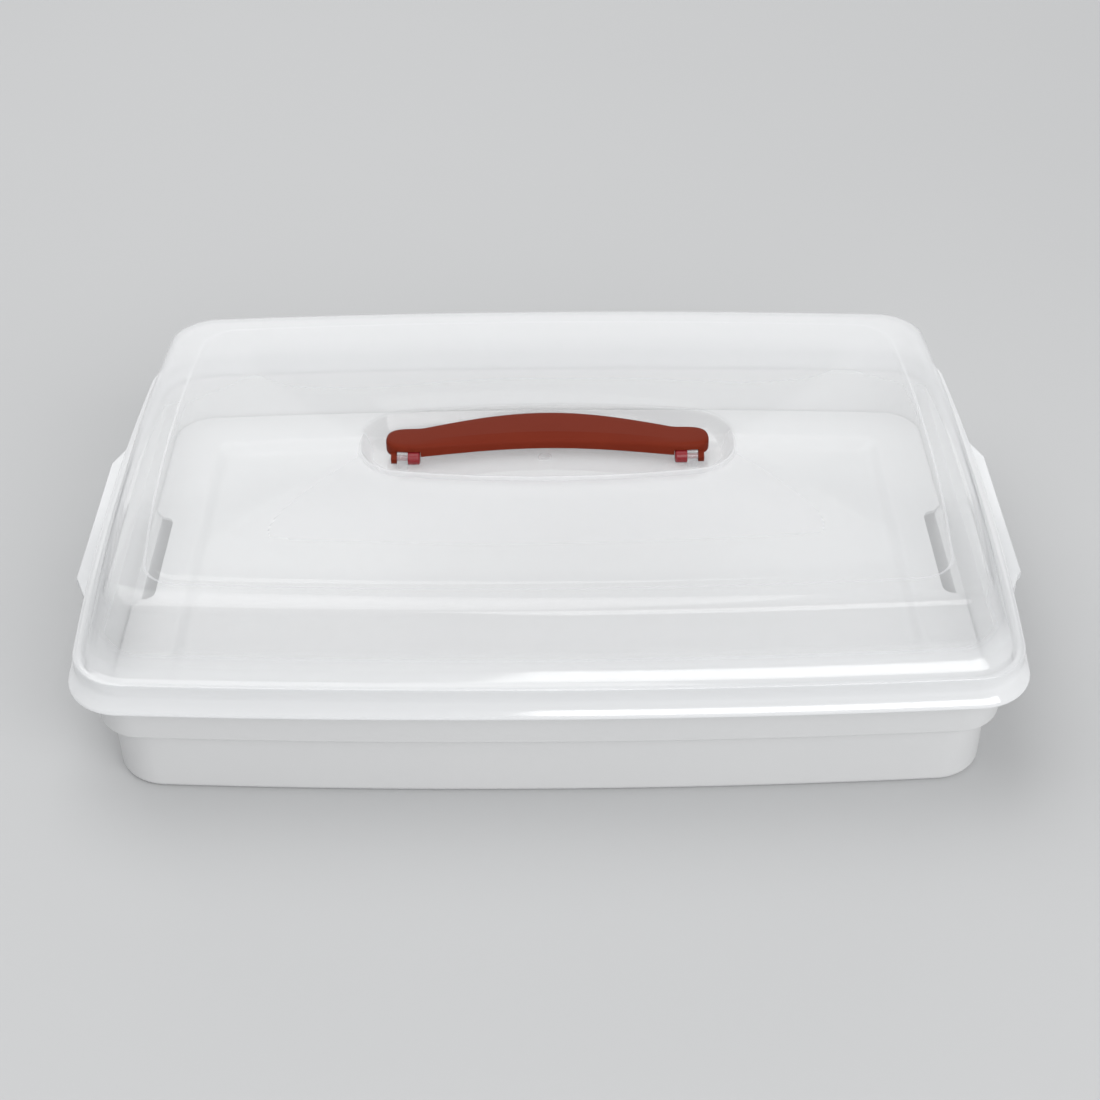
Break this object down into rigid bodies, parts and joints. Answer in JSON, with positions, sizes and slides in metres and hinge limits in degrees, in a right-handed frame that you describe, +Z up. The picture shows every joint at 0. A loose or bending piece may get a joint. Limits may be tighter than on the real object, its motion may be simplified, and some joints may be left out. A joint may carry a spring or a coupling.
{
  "type": "cake carrier",
  "caption": "Rectangular cake carrier: pale stepped tub, lifting insert, clear domed lid with a folding carry handle and a latch on each short side.",
  "frame": {"origin": "middle of the footprint, on the surface that the tub stands on", "axes": "+X along the long side, +Y from the front long side to the back one, +Z up"},
  "size_m": [0.462, 0.2966, 0.1116],
  "materials": {
    "tub": "satin moulded plastic",
    "insert": "satin moulded plastic",
    "lid": "clear, slightly milky moulded plastic, glossy outside",
    "handle": "satin brown plastic",
    "pin": "glossy deep red plastic",
    "latch": "clear, slightly milky moulded plastic"
  },
  "bodies": {
    "tub": {"base_tub": "tub"},
    "insert": {"lifting_insert": "insert"},
    "lid": {"lid_cover": "lid", "handle_pin_left": "pin", "handle_pin_right": "pin"},
    "handle": {"carry_handle": "handle"},
    "latch_left": {"latch_left": "latch"},
    "latch_right": {"latch_right": "latch"}
  },
  "joints": [
    {"name": "insert_lift", "type": "slide", "parent": "tub", "child": "insert", "axis": [0, 0, 1], "range_m": [0, 0.034]},
    {"name": "lid_lift", "type": "slide", "parent": "tub", "child": "lid", "axis": [0, 0, 1], "range_m": [0, 0.15]},
    {"name": "handle_turn", "type": "hinge", "parent": "lid", "child": "handle", "pos_m": [0, -0.0065, 0.1045], "axis": [1, 0, 0], "range_deg": [0, 90]},
    {"name": "latch_left_swing", "type": "hinge", "parent": "lid", "child": "latch_left", "pos_m": [-0.22896, 0, 0.0605], "axis": [0, 1, 0], "range_deg": [0, 90]},
    {"name": "latch_right_swing", "type": "hinge", "parent": "lid", "child": "latch_right", "pos_m": [0.22896, 0, 0.0605], "axis": [0, -1, 0], "range_deg": [0, 90]}
  ]
}
